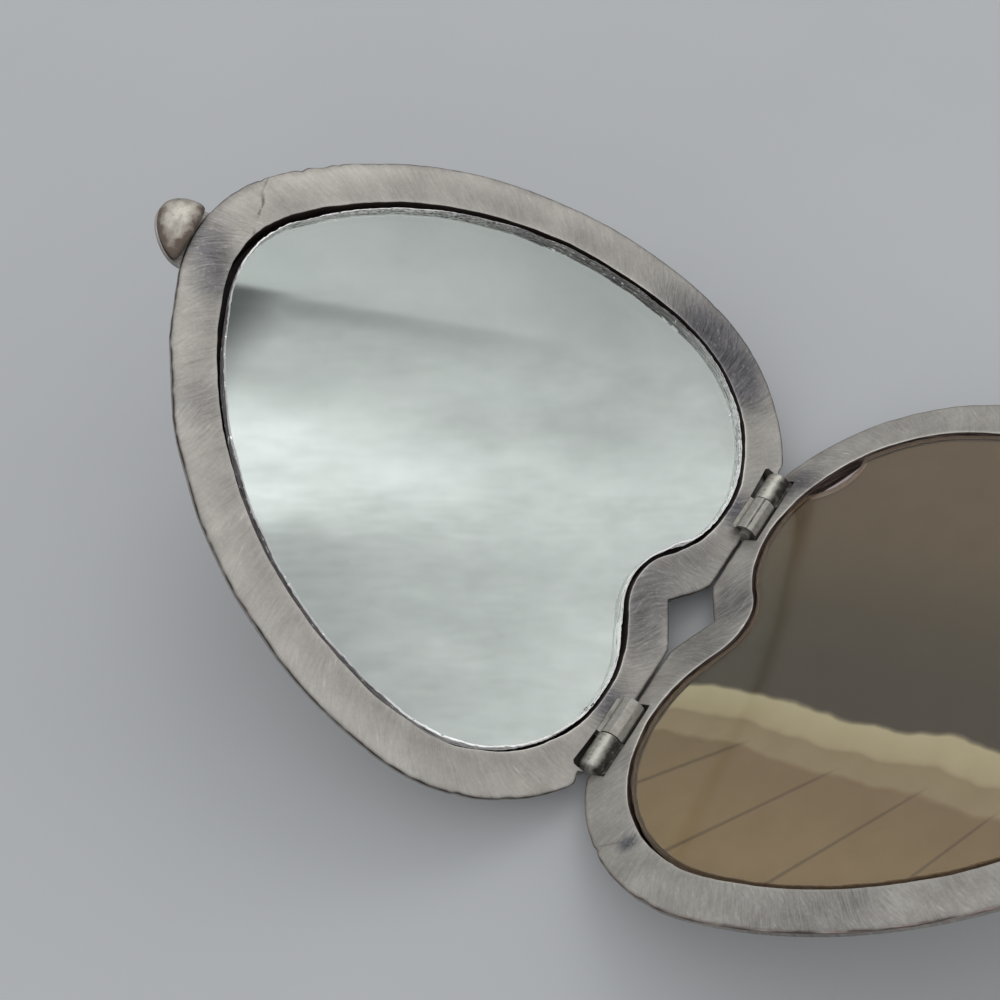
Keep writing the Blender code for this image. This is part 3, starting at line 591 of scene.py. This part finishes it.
def heart_slab(name, leaf, inset, trim, bottom, top, cut=0.0):
    """Closed slab of the heart's outline with a slightly uneven side, cut in by a straight snip beside one lobe."""
    way = np.arange(700) / 700
    point, out, reach = heart_edge(way, trim)
    arc = way * reach
    side = inset + 0.03 * waves(arc, 0.0, 2.5, 45) + cut * np.clip(1 - ((arc - SNIP_AT) / SNIP_HALF) ** 2, 0, 1)
    rows = ((6.0, bottom), (0.0, bottom), (0.0, (bottom + top) / 2), (0.0, top - 0.03), (0.03, top), (2.0, top),
            (6.0, top))
    rings = [np.column_stack((point - (side + inward)[:, None] * out, np.full(len(way), height)))
             for inward, height in rows]
    across = np.array(rows)[:, 1:2]
    ends = ((*MIDDLE, bottom), (*MIDDLE, top))
    slab = closed_shell(name, leaf, np.stack(rings), ends, np.append(arc, reach), across)
    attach(slab, leaf)
    return slab


def plain_filling(name, low, high, scale, roughness):
    """Dull material that wanders between two colours in grains of about scale millimetres."""
    material, node = new_material(name)
    here = node("TexCoord", out="Object")
    fibres = grain(node, here, scale / 1000.0, 4.0)
    mixed = node("Mix RGBA", {0: fibres, 6: low, 7: high}, out=2)
    normal = node("Bump", {"Height": fibres, "Distance": 0.00005, "Strength": 0.5})
    shader = node("BsdfPrincipled", {"Base Color": mixed, "Roughness": roughness, "Normal": normal})
    node("OutputMaterial", (shader,))
    return material


glue = heart_slab("glue_pad", "mirror_leaf", 5.4, GLASS_TRIM, -3.12, GLASS_BOTTOM - 0.02)
glue.data.materials.append(plain_filling("dried glue", "#8E8160", "#A99A74", 1.5, 0.7))
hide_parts("mirror_glue_pad")
backing = heart_slab("backing_pad", "picture_leaf", 4.32, 0.0, -3.04, -0.98, 1.0)
backing.data.materials.append(plain_filling("pressed card", "#4E4039", "#65564D", 0.4, 0.9))
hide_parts("picture_backing_pad")

# Bead catch: half an egg of pewter on the lug, that the closed picture leaf snaps behind. It was cast, left
# rough, and has gone brown in its dents. Painted shade darkens it low down by the lug, at both ends and on the
# side against the rim, and a painted highlight lightens its crown.
BEAD_LOW = (0.02, -0.25)
BEAD_HALF, BEAD_REACH, BEAD_HEIGHT = 3.15, 4.62, 2.6


def bead():
    """Egg about a point inside it: each direction reaches the smallest of the egg's skin, the flat towards the rim
    and the flat on the lug, blended by a power mean so that the corners are round, and dented by waves. The skin
    is found by halving the way along each direction."""
    heart_of_bead = np.array((0.0, 1.5, 0.7))
    up = np.linspace(-0.5, 0.5, 62)[1:-1, None] * np.pi
    round_ = np.arange(120)[None] * 2 * np.pi / 120
    way = np.stack(np.broadcast_arrays(np.cos(up) * np.cos(round_), np.cos(up) * np.sin(round_), np.sin(up)), -1)

    def skin(direction):
        near, far = np.zeros(direction.shape[:-1]), np.full(direction.shape[:-1], 8.0)
        for _ in range(40):
            middle = (near + far) / 2
            x, y, z = np.moveaxis(heart_of_bead + middle[..., None] * direction, -1, 0)
            swell = np.clip((1 + 0.3 * x / BEAD_HALF) / 1.3, 0.05, None)
            egg = (x / BEAD_HALF) ** 2 + (y / (BEAD_REACH * swell)) ** 2 + (z / (BEAD_HEIGHT * swell)) ** 2
            inside = egg < 1
            near, far = np.where(inside, middle, near), np.where(inside, far, middle)
        to_rim = (heart_of_bead[1] - BEAD_LOW[0]) / np.clip(-direction[..., 1], 1e-6, None)
        to_lug = (heart_of_bead[2] - BEAD_LOW[1]) / np.clip(-direction[..., 2], 1e-6, None)
        reach = (near**-6.0 + to_rim**-6.0 + to_lug**-6.0) ** (-1 / 6.0)
        dent = waves(direction[..., 0] * 3 + direction[..., 2], direction[..., 1] * 3, 2.6, 51)
        fine = waves(direction[..., 0] * 3 - direction[..., 2] * 2, direction[..., 1] * 3, 0.9, 53)
        return reach * (1 + 0.022 * dent + 0.008 * fine)

    poles = np.array([(0.0, 0.0, -1.0), (0.0, 0.0, 1.0)])
    shape = heart_of_bead + skin(way)[..., None] * way
    tips = heart_of_bead + skin(poles)[:, None] * poles
    origin, along, out = bead_frame()

    def placed(points):
        return np.concatenate((origin + points[..., :1] * along + points[..., 1:2] * out,
                               points[..., 2:] + RIM_LEVEL), -1)

    x, y, z = np.moveaxis(shape, -1, 0)
    # Brown patina in the dents; painted shade low down by the lug, on the side against the rim and at both ends; a
    # painted highlight on the crown.
    hollow = 0.25 * np.clip(-waves(way[..., 0] * 3 + way[..., 2], way[..., 1] * 3, 2.6, 51), 0, 1)
    hollow += 1.4 * bump(z + 0.3, 1.35) + 1.2 * bump(y, 0.7)
    hollow += 0.55 * bump(x + 3.0, 1.3) + 0.5 * bump(x - 2.6, 0.9) * bump(y - 3.2, 2.0)
    crown = bump(x - 0.3, 0.9) * bump(y - 2.0, 1.0)
    return closed_shell("bead", "mirror_leaf", placed(shape), (placed(tips[:1]), placed(tips[1:])),
                        np.linspace(0, 12, 121), np.linspace(0, 7, 60)[:, None],
                        grime=np.clip(hollow, 0, 1.2), worn=crown)


def patinated_pewter(name, bright, dull, brown, share):
    """Pewter left as cast: lighter where the mesh marks a painted highlight, dull in between, and brown with a violet
    cast in blotches of patina 0.4 to 1 mm across and where the mesh marks patina and painted shade."""
    material, node = new_material(name)
    here = node("TexCoord", out="Object")
    blotch = grain(node, here, 1 / 1300.0, 5.0, 0.65)
    fine = grain(node, here, 1 / 2600.0, 4.0, 0.6)
    tone = node("MapRange", (fine, 0.26, 0.74))
    worn, grime = (node("Attribute", out="Fac", attribute_name=share) for share in ("worn", "grime"))
    # Painted highlight where the mesh marks it.
    tone = node("Math MULTIPLY_ADD", (worn, 0.7, tone), use_clamp=True)
    metal = node("Mix RGBA", {0: tone, 6: dull, 7: bright}, out=2)
    # Patina blotches, with the patina and painted shade marked on the mesh.
    sunk = node("Math MULTIPLY_ADD", (grime, 0.35, blotch))
    veil = node("MapRange", (sunk, 0.62 - share, 0.92 - share))
    metal = node("Mix RGBA", {0: veil, 6: metal, 7: brown}, out=2)
    rough = node("MapRange", (sunk, 0.3, 0.9, 0.42, 0.62))
    height = node("Math MULTIPLY_ADD", (fine, 0.4, blotch))
    normal = node("Bump", {"Height": height, "Distance": 0.00006, "Strength": 0.5})
    shader = node("BsdfPrincipled", {"Base Color": metal, "Metallic": 0.75, "Roughness": rough, "Normal": normal})
    node("OutputMaterial", (shader,))
    return material


bead_piece = bead()
bead_piece.data.materials.append(patinated_pewter("bead pewter", "#CCC7BD", "#8E887D", "#6A5E55", 0.03))
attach(bead_piece, "mirror_leaf")
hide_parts("bead_catch")

# Inner and outer knuckles of the two hinges, each cast with a square foot that is soldered into its leaf's seat.
# The inner ones were filed into flats and are pale. The outer ones are round with domed ends, darker and browner.
BARREL, FOOT_Y, FOOT_Z, BORE = 1.25, 1.57, -1.25, 0.6


def knuckle(name, leaf, side, near, far, flats, dome, seam):
    """Rings along the hinge axis from the shut end to the bored end and into the bore. The section reaches the
    larger of the barrel and its foot in every direction from the axis. A barrel with flats is a polygon with a
    filed slope at its shut end, and a round one has its corner rounded there. Both keep a thin seam from the mould
    at the angle seam, darkened as painted shade, with painted shade over the foot and, on the round ones, along
    their outward side. A painted highlight runs along the round ones in front of the seam."""
    turn = np.arange(144) * 2 * np.pi / 144
    cosine, sine = np.cos(turn), np.sin(turn)

    def turn_from(angle):
        return (turn - angle + np.pi) % (2 * np.pi) - np.pi

    if flats:
        off = (turn + np.pi / flats) % (2 * np.pi / flats) - np.pi / flats
        barrel = BARREL * np.minimum(math.cos(np.pi / flats) / np.cos(off) * 1.012, 1.0)
    else:
        barrel = np.full_like(turn, BARREL)
    barrel = barrel - 0.05 * bump(turn_from(seam), 0.06)
    foot_reach = np.minimum(FOOT_Y / np.clip(cosine, 1e-6, None), -FOOT_Z / np.clip(-sine, 1e-6, None))
    foot = np.where((cosine > 0) & (foot_reach * sine < RIM_LEVEL), foot_reach, 0.0)
    section = np.maximum(barrel, foot)
    length = far - near
    if flats:
        shut_end = ((0.0, 0.34), (0.0, 0.62), (0.04, 0.66), (dome - 0.04, 0.98), (dome, 1.0))
    else:
        shut_end = ((0.0, 0.45), (0.08 * dome, 0.76), (0.28 * dome, 0.90), (0.6 * dome, 0.97), (dome, 1.0))
    rows = [(length - inward, 0.0, share) for inward, share in shut_end]
    rows += [(length - dome - (length - dome - 0.12) * step / 10, 0.0, 1.0) for step in range(1, 11)]
    rows += [(0.03, 0.0, 0.975), (0.0, 0.0, 0.92), (0.0, BORE + 0.05, 0.0), (0.05, BORE, 0.0),
             (length - 0.7, BORE, 0.0), (length - 0.6, 0.3, 0.0)]
    rings = []
    for place, plain, share in rows:
        pitted = 0.012 * waves(turn * 1.25, place, 1.1, 61 + int(near) + int(side)) * (share > 0.9)
        radius = plain + share * section + pitted
        rings.append(np.column_stack((np.full_like(turn, near + place) * side, radius * cosine, radius * sine)))
    ends = ((side * far, 0.0, 0.0), (side * (far - 0.6), 0.0, 0.0))
    rings = np.stack(rings)
    # Painted shade in the seam, over the foot and along the round ones' outward side; a painted highlight along the
    # round ones' crown.
    hollow = 1.3 * bump(turn_from(seam), 0.06) + 0.5 * (cosine > 0.3) * (sine < -0.02)
    hollow += 1.3 * bump(turn_from(0.25), 0.5) * (not flats)
    hollow = np.clip(hollow, 0, 2)[None]
    crown = bump(turn - 1.1, 0.24)[None] * (not flats)
    if side > 0:
        rings, hollow, crown = rings[:, ::-1], hollow[:, ::-1], crown[:, ::-1]
    piece = closed_shell(name, leaf, rings, ends, np.linspace(0, 8, 145), np.array(rows)[:, :1],
                         grime=hollow, worn=crown)
    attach(piece, leaf)
    return piece


pale = patinated_pewter("filed pewter", "#A9A69F", "#8A8780", "#4A4642", -0.06)
dark = patinated_pewter("round pewter", "#B9B7AE", "#6B6963", "#3B3733", 0.0)
for side, hand in ((1, "right"), (-1, "left")):
    inner = knuckle("inner_knuckle_" + hand, "mirror_leaf", side, 15.3, 11.7, 10, 0.42, 1.15 if side > 0 else 4.0)
    inner.data.materials.append(pale)
    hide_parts("mirror_knuckle_" + hand)
    outer = knuckle("outer_knuckle_" + hand, "picture_leaf", -side, 15.5, 19.1, 0, 0.4, 2.3)
    outer.data.materials.append(dark)
    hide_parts("picture_knuckle_" + hand)


# Hinge pins: drawn steel wire 1 mm thick, shut in by both knuckles, so only a hair of each shows at the joint.
# Drawing leaves fine lines along the wire.
def finish_node(name, material):
    """Gives a carried-over node its material."""
    mesh = frame["nodes"][name].data
    mesh.materials.clear()
    mesh.materials.append(material)


def drawn_steel():
    """Bright grey wire with faint lines along it, about 0.05 mm apart."""
    material, node = new_material("drawn steel")
    here = node("TexCoord", out="Object")
    lines = grain(node, here, (1 / 300.0, 1 / 9000.0, 1 / 9000.0), 2.0)
    steel = node("Mix RGBA", {0: lines, 6: "#8A8A8C", 7: "#BDBDC0"}, out=2)
    node("OutputMaterial", (node("BsdfPrincipled", {"Base Color": steel, "Metallic": 1.0, "Roughness": 0.3}),))
    return material


for hand in ("right", "left"):
    finish_node("hinge_pin_" + hand, drawn_steel())

# Clear sheet: a heart of clear plastic 0.4 mm thick that keeps the picture in. It is sawn out, a little yellow,
# and has a round bite at one lobe where a thumbnail lifts it.
SHEET_INSET, SHEET_TOP, SHEET_BOTTOM = 4.4, -0.30, -0.70
NOTCH_RADIUS, NOTCH_BITE, NOTCH_TURN = 4.9, 1.9, math.radians(-54.0)
NOTCH_AWAY = LOBE_RADIUS - SHEET_INSET - NOTCH_BITE + NOTCH_RADIUS
NOTCH = (-(LOBE_X + NOTCH_AWAY * math.cos(NOTCH_TURN)), LOBE_Y + NOTCH_AWAY * math.sin(NOTCH_TURN))


def sheet_heart():
    """Rings of the sheet. Where the edge lies inside the notch's circle, it is moved in along its own direction to
    the far side of the circle, at the larger root of |edge - t * out - centre| = radius."""
    way = np.arange(1100) / 1100
    point, out, reach = heart_edge(way)
    arc = way * reach
    away = point - SHEET_INSET * out - NOTCH
    back = (away * out).sum(1)
    within = NOTCH_RADIUS**2 - (away**2).sum(1)
    bite = np.where(within > 0, back + np.sqrt(np.clip(back**2 + within, 0, None)), 0.0)
    sawn = 0.05 + 0.04 * waves(arc, 0.0, 3.0, 71) + 0.015 * waves(arc, 0.0, 0.6, 73)
    rows = ((6.0, 0.0), (2.2, 0.0), (0.05, 0.0), (0.0, 0.04), (0.0, 0.2), (0.0, 0.36), (0.02, 0.39), (0.06, 0.4),
            (0.1, 0.4), (2.2, 0.4), (6.0, 0.4))
    rings = []
    for inward, height in rows:
        inset = SHEET_INSET + inward + bite * (inward < 3) + np.clip(sawn, 0, None)
        xy = point - inset[:, None] * out
        bow = 0.03 * waves(xy[:, 0], xy[:, 1], 26.0, 75)
        rings.append(np.column_stack((xy, SHEET_BOTTOM + height + bow)))
    ends = ((*MIDDLE, SHEET_BOTTOM), (*MIDDLE, SHEET_TOP))
    across = np.array(rows)[:, 1:2]
    return closed_shell("clear_plastic_sheet", "picture_leaf", np.stack(rings), ends, np.append(arc, reach), across)


def clear_plastic():
    """Clear plastic: what lies behind shows through with a slight yellow tint, and both faces mirror the room by
    0.04 + 0.96 * (1 - cos slant)^5, the same from either side, softened by hairline scratches. The sawn side is
    amber."""
    face, node = new_material("clear plastic")
    place = leaf_place(node, "picture_leaf")
    scratch = node("Mapping", {"Vector": place, "Rotation": (0, 0, 0.6), "Scale": (6.0, 0.12, 1.0)})
    scratch = node("TexNoise", {"Vector": scratch, "Scale": 1.0, "Detail": 2.0})
    hair = node("MapRange", (scratch, 0.62, 0.8, 0.06, 0.16))
    through = node("BsdfTransparent", {"Color": "#F8F3E8"})
    gloss = node("BsdfGlossy", {"Color": "#FFFFFF", "Roughness": hair})
    slant = node("LayerWeight", {"Blend": 0.5}, out="Facing")
    slant = node("Math POWER", (slant, 5.0))
    mirrored = node("MapRange", (slant, 0.0, 1.0, 0.04, 1.0))
    node("OutputMaterial", (node("MixShader", (mirrored, through, gloss)),))
    side, node = new_material("sawn plastic edge")
    specks = grain(node, leaf_place(node, "picture_leaf"), 1 / 3.0, 3.0)
    amber = node("Mix RGBA", {0: specks, 6: "#4A382E", 7: "#98805F"}, out=2)
    node("OutputMaterial", (node("BsdfPrincipled", {"Base Color": amber, "Roughness": 0.35, "Alpha": 0.7}),))
    return face, side


sheet = sheet_heart()
for material in clear_plastic():
    sheet.data.materials.append(material)
sheet.data.polygons.foreach_set("material_index", np.where(np.abs(out_of_leaf(sheet, -1)) > 0.8, 0, 1))
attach(sheet, "picture_leaf")
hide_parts("clear_sheet")

# Picture: a card printed in faded sepia, a quiet evening landscape of no real place: dark sky and hills, a pale
# strip of water and a tan field cut by furrows. It lies under the sheet with its sky towards one lobe.
CARD_TOP, CARD_BOTTOM = -0.74, -0.96


def printed_landscape():
    """Bands of colour across the leaf's x, bent by slow noise: sky, two ridges, water, bank and field, with furrows
    that fan out from a point beyond the water and the soft mottle of an old print. Under the thumbnail notch, where
    no plastic covers it, the card has gone pale."""
    material, node = new_material("printed card")
    place = leaf_place(node, "picture_leaf")
    down, across = (node("SeparateXYZ", (place,), out=axis) for axis in (0, 1))
    roll = node("TexNoise", {"Vector": node("Mapping", {"Vector": place, "Scale": (0.04, 0.09, 0.0)}),
                             "Scale": 1.0, "Detail": 3.0})
    bent = node("Math MULTIPLY_ADD", (roll, 5.0, down))
    bent = node("Math MULTIPLY_ADD", (across, -0.10, bent))
    picture = tone_along(node, bent, (
        (-32.0, "#635647"), (-11.0, "#584E42"), (-2.6, "#3A342B"), (4.4, "#2B2822"), (8.95, "#2A2721"),
        (9.16, "#BFC3BB"), (11.96, "#B0B1A6"), (12.24, "#959083"), (14.55, "#9B958A"), (14.9, "#7F725F"),
        (22.6, "#8C7F6A"), (38.0, "#92856F")))
    fan = node("Math ARCTAN2", (node("Math SUBTRACT", (across, 60.0)),
                                node("Math ADD", (down, 22.0))))
    rows = node("Math PINGPONG", (node("Math MULTIPLY", (fan, 15.0)), 1.0))
    furrow = node("MapRange", (rows, 0.0, 0.07, 0.75, 0.0))
    field = node("MapRange", (bent, 13.85, 15.6))
    furrow = node("Math MULTIPLY", (furrow, field))
    picture = node("Mix RGBA", {0: furrow, 6: picture, 7: "#453829"}, out=2)
    mottle = node("MapRange", (grain(node, place, 1 / 0.35, 5.0, 0.6), 0.3, 0.7, 0.0, 0.35))
    picture = node("Mix RGBA", {0: mottle, 6: picture, 7: "#8C7F68"}, out=2, blend_type="SOFT_LIGHT")
    bared = node("VectorMath DISTANCE", (place, (*NOTCH, CARD_TOP)), out=1)
    bared = node("MapRange", (bared, NOTCH_RADIUS, NOTCH_RADIUS + 0.3, 1.0, 0.0))
    picture = node("Mix RGBA", {0: bared, 6: picture, 7: "#9C8F90"}, out=2)
    node("OutputMaterial", (node("BsdfPrincipled", {"Base Color": picture, "Roughness": 0.45}),))
    return material


card = heart_slab("picture_print", "picture_leaf", 4.75, 0.0, CARD_BOTTOM, CARD_TOP, 0.6)
card.data.materials.append(printed_landscape())
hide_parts("picture_card")

# Table top, light and camera: a plain pale sheet of paper under a large soft lamp, in a pale room. The room is
# painted by direction: a wall in bands with clouds and one dark line, which the glass mirrors, and lighter air
# elsewhere. The camera stands over the mirror leaf, given in that leaf's own frame.
table_mesh = bpy.data.meshes.new("table_top")
table_mesh.from_pydata([(-3.0, -3.0, 0.0), (3.0, -3.0, 0.0), (3.0, 3.0, 0.0), (-3.0, 3.0, 0.0)], [], [(0, 1, 2, 3)])
table = new_object("table_top", table_mesh)
paper, node = new_material("pale paper")
here = node("TexCoord", out="Object")
tooth = grain(node, here, 0.04, 3.0)
shade = node("Mix RGBA", {0: tooth, 6: "#ABADAF", 7: "#B1B3B5"}, out=2)
shader = node("BsdfPrincipled", {"Base Color": shade, "Roughness": 0.9, "Specular IOR Level": 0.2})
node("OutputMaterial", (shader,))
table_mesh.materials.append(paper)

world = bpy.data.worlds.new("pale room")
bpy.context.scene.world = world
world.use_nodes = True
world.node_tree.nodes.clear()
node = functools.partial(add_node, world.node_tree)
look = node("TexCoord", out="Generated")
height = node("SeparateXYZ", (look,), out=2)
rise = node("Math MAXIMUM", (height, 0.12))
rise = node("CombineXYZ", (rise, rise, rise))
ceiling = node("VectorMath DIVIDE", (look, rise))
beyond = node("VectorMath DOT_PRODUCT", (ceiling, (0.71, 0.70, 0.0)), out=1)
beside = node("VectorMath DOT_PRODUCT", (ceiling, (0.70, -0.71, 0.0)), out=1)
level = node("Math ADD", (beyond, 0.066))
level = node("Math DIVIDE", (level, node("Math ADD", (beside, 0.9))))
on_wall = node("CombineXYZ", (beside, level))
cloud = grain(node, on_wall, (1 / 9, 1 / 60, 1), 3.0, 0.6)
ripple = grain(node, on_wall, (1 / 26, 1 / 420, 1), 3.0, 0.6)
ragged = node("Math MULTIPLY_ADD", (ripple, 0.012, level))
near_wall = tone_along(node, ragged, (
    (-0.06, 0.47), (0.016, 0.5), (0.032, 0.6), (0.051, 1.05), (0.066, 1.11), (0.079, 1.12), (0.096, 0.79),
    (0.103, 0.69), (0.113, 0.64), (0.13, 0.60), (0.146, 0.68), (0.18, 0.54)))
far_wall = tone_along(node, ragged, (
    (-0.06, 0.76), (0.03, 0.73), (0.052, 0.85), (0.08, 0.635), (0.095, 0.61), (0.13, 0.50), (0.18, 0.47)))
side_fall = node("MapRange", (beside, 0.77, 1.13))
wall = node("Mix FLOAT", {0: side_fall, 2: near_wall, 3: far_wall})
cloud = node("MapRange", (cloud, 0.3, 0.7, -0.10, 0.10))
ripple = node("MapRange", (ripple, 0.3, 0.7, -0.07, 0.07))
rough_part = node("MapRange", (beyond, 0.17, 0.14, 0.15))
cloud = node("Math ADD", (ripple, cloud))
cloud = node("Math MULTIPLY_ADD", (cloud, rough_part, 1.03))
wall = node("Math MULTIPLY", (wall, cloud))
patch = tone_along(node, level, ((0.058, 0.5), (0.072, 0.40), (0.080, 0.43), (0.088, 0.5), (0.096, 0.565),
                                 (0.113, 0.58), (0.13, 0.575), (0.147, 0.5)))
patch = node("Math SUBTRACT", (patch, 0.5))
reach = tone_along(node, beside, ((0.85, 0.0), (0.90, 0.7), (0.955, 1.0), (1.03, 0.8), (1.10, 0.3), (1.16, 0.0)))
wall = node("Math MULTIPLY_ADD", (patch, reach, wall))
shade = tone_along(node, beyond, ((0.07, 0.0), (0.12, 0.18), (0.139, 0.36), (0.148, 1.0), (0.154, 1.0), (0.159, 0.0)))
fading = tone_along(node, beside, (
    (0.76, 0.42), (0.84, 0.33), (0.90, 0.28), (0.96, 0.23), (1.014, 0.2), (1.08, 0.10), (1.14, 0.0)))
shade = node("Math MULTIPLY", (shade, fading))
corner = node("Math MULTIPLY_ADD", (beyond, -0.943, beside))
corner = node("MapRange", (corner, 0.69, 0.61, 0.0, 0.78), interpolation_type="SMOOTHSTEP")
below = node("MapRange", (beyond, 0.161, 0.157))
corner = node("Math MULTIPLY", (corner, below))
shade = node("Math MAXIMUM", (shade, corner))
wall = node("Math MULTIPLY", (wall, node("Math SUBTRACT", (1.0, shade))))
open_air = node("MapRange", (height, 0.1, 0.75, 0.62, 1.06))
window = node("VectorMath DOT_PRODUCT", (look, (-0.93, 0.36, 0.0)), out=1)
window = node("MapRange", (window, 0.1, 0.9, 0.0, 0.38))
open_air = node("Math ADD", (open_air, window))
off_wall = node("Math ABSOLUTE", (beyond,))
off_wall = node("MapRange", (off_wall, 0.30, 0.5), interpolation_type="SMOOTHSTEP")
short = node("MapRange", (beside, 0.65, 0.35), interpolation_type="SMOOTHSTEP")
off_wall = node("Math MAXIMUM", (off_wall, short))
room = node("Mix FLOAT", {0: off_wall, 2: wall, 3: open_air})
seen = node("LightPath", out="Is Camera Ray")
air = node("Background", {"Color": "#F2F3F5", "Strength": room})
plain = node("Background", {"Color": "#B4B6B8", "Strength": 1.0})
node("OutputWorld", (node("MixShader", (seen, air, plain)),))

lamp_data = bpy.data.lights.new("soft_lamp", "AREA")
lamp_data.shape = "DISK"
lamp_data.size = 0.6
lamp_data.energy = 1.12
lamp_data.color = (1.0, 0.985, 0.96)
lamp = new_object("soft_lamp", lamp_data)
lamp.location = (0.62, 0.12, 0.80)
lamp.rotation_euler = (-lamp.location).to_track_quat("-Z", "Y").to_euler()

camera_data = bpy.data.cameras.new("camera")
camera_data.lens = 62.4
camera_data.sensor_width = 36.0
camera_data.clip_start = 0.001
camera = new_object("camera", camera_data)
aim = Matrix(((0.52293, 0.67977, -0.51426), (-0.75547, 0.64902, 0.08968), (0.39473, 0.34161, 0.85293))).to_4x4()
stand = Matrix.Translation((-0.0860294, 0.0354768, 0.1362616)) @ aim
camera.matrix_world = Matrix.Translation(HINGE.tolist()) @ Matrix.Rotation(LEAN, 4, "X") @ stand
bpy.context.scene.camera = camera

bpy.context.scene.view_settings.view_transform = "Standard"
